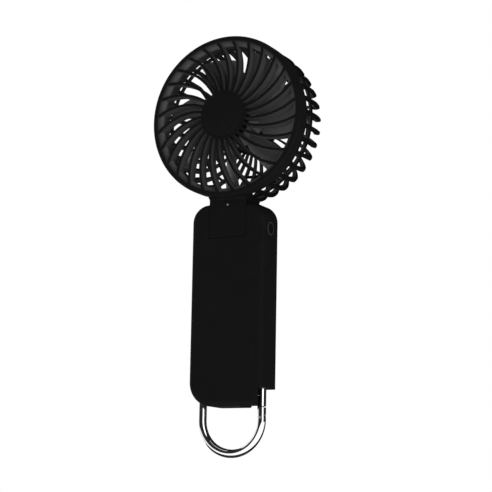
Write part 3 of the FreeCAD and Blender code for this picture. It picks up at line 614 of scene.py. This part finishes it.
def rib():
    """One rib of the cage: along the side, round the rear corner and inward along a swirl.
    A rounded bar's section, |cos a|^0.55 by |sin a|^0.55, is as wide as the gap between an
    outer and an inner line (radius, y), and thins towards the middle plate. Behind the corner
    the rib turns by the swirl's angle * (1.5 t - 0.5 t^2), where t goes from 0 to 1."""
    c = cage_back
    counts = (3, 12, 12, 8, 6, 34)
    outer = bend(
        [
            (head_r - 0.4, band_back + 0.1),
            (head_r - 0.3, duct_back + 0.2),
            (head_r - 0.2, c - 13),
            (head_r - 1.9, c - 4.6),
            (head_r - 4.4, c - 1.2),
            (head_r - 7.4, c),
            (plate_r - 0.5, c),
        ],
        counts,
    )
    inner = bend(
        [
            (head_r - 1.7, band_back + 0.1),
            (head_r - 2.2, duct_back + 0.2),
            (head_r - 3.1, c - 13),
            (head_r - 5.6, c - 5.6),
            (head_r - 7.2, c - 3.6),
            (head_r - 8.6, c - rib_deep),
            (plate_r - 0.5, c - rib_deep),
        ],
        counts,
    )
    outer, inner = softened(outer, 14), softened(inner, 14)
    middle, half = (outer + inner) / 2, (outer - inner) / 2
    a = np.linspace(0, 2 * math.pi, 16, endpoint=False)[None, :]
    squareness = 0.55
    wide = np.sign(np.cos(a)) * np.abs(np.cos(a)) ** squareness
    r = middle[:, 0:1] + half[:, 0:1] * wide
    thick = rib_thick * (0.45 + 0.55 * (middle[:, 0:1] - plate_r) / (head_r - plate_r))
    tall = np.sign(np.sin(a)) * np.abs(np.sin(a)) ** squareness * thick / 2
    y = middle[:, 1:2] + half[:, 1:2] * wide
    bend_r = head_r - 3.5
    inward = np.clip((bend_r - middle[:, 0:1]) / (bend_r - plate_r), 0, 1)
    turn = math.radians(swirl) * (1.5 * inward - 0.5 * inward**2) + 0 * a
    x = r * np.cos(turn) - tall * np.sin(turn)
    z = r * np.sin(turn) + tall * np.cos(turn)
    # painted light: the rib's inner face, towards the axis, is painted paler, as if lit
    tone = np.clip(-wide * 3, 0, 1) + 0 * r
    return surface(np.stack([x, y, head_z + z], -1), False, True, True, tone)


def ring_bar(r0, r1, y0, y1, round_edge=0.45):
    """A rounded rectangular bar turned round the axis, with painted light: paler inside and in front."""
    outline = rounded([(r0, y0), (r1, y0), (r1, y1), (r0, y1)], [round_edge] * 4, 4)
    return turned(outline, 144, painted_light=lambda r, y: (r < r0 + 0.3) | ((y < y0 + 0.3) & (r < r1 - 0.5)))


def rear_cage():
    """Ribs, three connecting rings and the middle plate with its shallow seat."""
    c, bar = cage_back, duct_back + 4.6
    back = c - 0.3
    corner = head_r - 6.9
    plate = turned(
        rounded(
            [
                (on_axis, c - rib_deep),
                (plate_r, c - rib_deep),
                (plate_r, c),
                (plate_r - plate_rim, c),
                (plate_r - plate_rim, c - 0.8),
                (on_axis, c - 0.8),
            ],
            [on_axis / 2, 0.3, 0.6, 0.3, 0.1, on_axis / 2],
        ),
        120,
    )
    rings = [
        ring_bar(head_r - 1.95, head_r - 0.6, band_back + 0.1, band_back + 1.3, 0.3),
        ring_bar(opening_r + 0.4, head_r - 1.0, bar + 0.3, bar + 1.7),
        ring_bar(corner - 6.0, corner - 4.4, back - 2.2, back),
        ring_bar(plate_r + 12.7, plate_r + 14.3, back - 2.2, back),
    ]
    piece(
        "rear_cage_moulding",
        "head",
        black_cage_painted_lit,
        rings + [plate] + around(rib(), rib_count, rib_phase),
        ["rear_grille"],
    )


rear_cage()


# ---- pivot caps --------------------------------------------------------------------------
def pivot_cap(name, low, high, outside):
    """A disc turned round the pivot's axis: y = r cos a, z = r sin a, with a bevelled rim whose
    slope is painted paler: a painted highlight."""
    r, x0, x1 = (high[1] - low[1]) / 2, low[0], high[0]
    if outside < 0:
        x0, x1 = x1, x0
    step = math.copysign(1, outside)
    profile = [(on_axis, x1 - 0.15 * step), (r - 1.3, x1 - 0.15 * step), (r - 0.9, x1), (r - 0.55, x1)]
    profile += [(r, x1 - 0.55 * step), (r, x0), (on_axis, x0)]
    a = np.linspace(0, 2 * math.pi, 120, endpoint=False)[:, None]
    radius, x = np.array(profile, float).T
    points = np.stack([x + 0 * a, pivot_y + radius * np.cos(a), pivot_z + radius * np.sin(a)], -1)
    # painted highlight: the bevel's slope is painted paler
    painted_highlight_rim = (radius > r - 1.0) & (np.abs(x - x0) > abs(x1 - x0) - 0.1)
    part = surface(points, True, True, tone=painted_highlight_rim * 0.5)
    piece(name + "_disc", "handle", black_cage_painted_lit, [part], [name], 20)


pivot_cap("pivot_cap_right", cap_low, cap_high, 1)
pivot_cap("pivot_cap_left", *measure("pivot_cap_left"), -1)


# ---- carabiner ---------------------------------------------------------------------------
def rod_along(path, radius, steps=48):
    """A round rod on a path in the plane y = rod_y: centre + r (cos a n + sin a Y), where n is
    the path's normal; radius may change along the path."""
    ahead = np.gradient(path, axis=0)
    ahead /= np.linalg.norm(ahead, axis=1)[:, None]
    n = np.stack([ahead[:, 1], -ahead[:, 0]], -1)
    a = np.linspace(0, 2 * math.pi, steps, endpoint=False)[None, :]
    r = np.broadcast_to(radius, len(path))[:, None]
    points = np.stack(
        [
            path[:, 0:1] + r * np.cos(a) * n[:, 0:1],
            rod_y + r * np.sin(a),
            path[:, 1:2] + r * np.cos(a) * n[:, 1:2],
        ],
        -1,
    )
    return surface(points, False, True, True)


def tongue(low, pin_z, half):
    """The hinge's flat tongue: the rod's section with its sides cut at +-half, round over the pin."""
    up = np.linspace(0, 1, 30)[:, None]
    z = low + (pin_z + rod_r - low) * up
    over = np.clip((z - pin_z) / rod_r, 0, 0.9999)
    a = np.linspace(0, 2 * math.pi, 48, endpoint=False)[None, :]
    wide = (rod_r - 0.2) * np.sqrt(1 - over**2)
    points = np.stack(
        [loop_r + wide * np.cos(a), rod_y + np.clip(rod_r * np.sin(a), -half, half) + 0 * z, z + 0 * a], -1
    )
    return surface(points, False, True, True)


def carabiner_loop():
    """Fixed leg, half circle and the short straight end below the gate, in one chrome rod."""
    z = np.linspace(loop_high[2] - 0.1, loop_z, 24, endpoint=False)
    a = np.linspace(math.pi, 2 * math.pi, 128)
    leg = np.stack([-loop_r + 0 * z, z], -1)
    arc = np.stack([loop_r * np.cos(a), loop_z + loop_r * np.sin(a)], -1)
    pin_z = (pin_low[2] + pin_high[2]) / 2
    piece(
        "carabiner_rod",
        "handle",
        chrome,
        [rod_along(np.concatenate([leg, arc]), rod_r), tongue(loop_z - 1.0, pin_z, 1.0)],
        ["carabiner_frame"],
    )


carabiner_loop()


# ---- camera, light, floor ----------------------------------------------------------------
def look(turn, rise):
    """Unit vector from the fan towards a place at that turn from the front and that height."""
    t, h = math.radians(turn), math.radians(rise)
    return Vector((math.sin(t) * math.cos(h), -math.cos(t) * math.cos(h), math.sin(h)))


ground_z = -0.06


def camera():
    """At the fan's right and a little below it, looking up past the aim by a small nod, with a
    slight roll; lengths are in metres."""
    turn, rise, roll, distance = 26.562, -11.253, math.radians(1.037), 0.935
    aim = Vector((6.862, -1.718, 148.598)) * MM
    towards = look(turn, rise)
    level = Vector((math.cos(math.radians(turn)), math.sin(math.radians(turn)), 0))
    over = towards.cross(level)
    right = level * math.cos(roll) + over * math.sin(roll)
    nod = math.radians(1.593)
    back = towards * math.cos(nod) + towards.cross(right) * math.sin(nod)
    up = back.cross(right)
    data = bpy.data.cameras.new("camera")
    data.lens = 117.15
    data.sensor_width = 36
    data.clip_start = 0.01
    thing = bpy.data.objects.new("camera", data)
    turned_to = Matrix((right, up, back)).transposed().to_4x4()
    thing.matrix_world = Matrix.Translation(aim + towards * distance) @ turned_to
    bpy.context.scene.collection.objects.link(thing)
    bpy.context.scene.camera = thing


def softbox(name, turn, rise, distance, wide, tall, glow):
    """A flat light facing the fan, at a distance and of a size in metres; glow is its
    brightness, whatever its size."""
    data = bpy.data.lights.new(name, "AREA")
    data.shape = "RECTANGLE"
    data.size, data.size_y = wide, tall
    data.energy = glow * math.pi * wide * tall
    thing = bpy.data.objects.new(name, data)
    middle = Vector((0, 0, head_z * MM * 0.6))
    away = look(turn, rise)
    facing = away.to_track_quat("Z", "Y").to_matrix().to_4x4()
    thing.matrix_world = Matrix.Translation(middle + away * distance) @ facing
    thing.visible_camera = False
    bpy.context.scene.collection.objects.link(thing)


def studio():
    """White surroundings to look at, dim ones to light with, and large soft lights."""
    world = bpy.data.worlds.new("studio")
    world.use_nodes = True
    bpy.context.scene.world = world
    tree = world.node_tree
    dim = tree.nodes["Background"]
    dim.inputs["Color"].default_value = (1, 1, 1, 1)
    dim.inputs["Strength"].default_value = 0.03
    white = tree.nodes.new("ShaderNodeBackground")
    white.inputs["Color"].default_value = (1, 1, 1, 1)
    seen = tree.nodes.new("ShaderNodeLightPath")
    mix = tree.nodes.new("ShaderNodeMixShader")
    tree.links.new(seen.outputs["Is Camera Ray"], mix.inputs[0])
    tree.links.new(dim.outputs[0], mix.inputs[1])
    tree.links.new(white.outputs[0], mix.inputs[2])
    tree.links.new(mix.outputs[0], tree.nodes["World Output"].inputs[0])
    softbox("right_front_light", 54, 8, 1.3, 0.8, 1.5, 2.0)
    softbox("left_rear_light", -108, 8, 1.3, 2.4, 1.8, 1.2)
    softbox("top_light", 0, 85, 1.2, 1.2, 1.2, 0.8)


def ground(name, corners, glow):
    """A flat pale sheet below the fan."""
    mesh = bpy.data.meshes.new(name)
    mesh.from_pydata([(x, y, ground_z) for x, y in corners], [], [(0, 1, 2, 3)])
    paint = Finish(name + "_paint", Roughness=0.8, Emission_Color=(1, 1, 1, 1), Emission_Strength=glow)
    paint.feed(Base_Color=paint.blend(paint.noise(40.0), (0.1, 0.1, 0.1), (0.14, 0.14, 0.14)))
    mesh.materials.append(paint.material)
    thing = bpy.data.objects.new(name, mesh)
    bpy.context.scene.collection.objects.link(thing)
    return thing


def floor():
    """A wide pale floor, and a white card for bright metal to reflect, which starts a little
    in front of the fan."""
    size, start, turn = 3.0, 0.03, 26.6
    wide = ground("floor", [(-size, -size), (size, -size), (size, size), (-size, size)], 0.85)
    wide.visible_glossy = False
    ahead, aside = look(turn, 0), look(turn + 90, 0)
    ends = [(start, -size), (start, size), (size, size), (size, -size)]
    corners = [(ahead * front + aside * side)[:2] for front, side in ends]
    card = ground("reflector_card", corners, 1.3)
    card.visible_camera = False
    card.visible_diffuse = False
    card.visible_shadow = False


camera()
studio()
floor()
bpy.context.scene.view_settings.view_transform = "Standard"
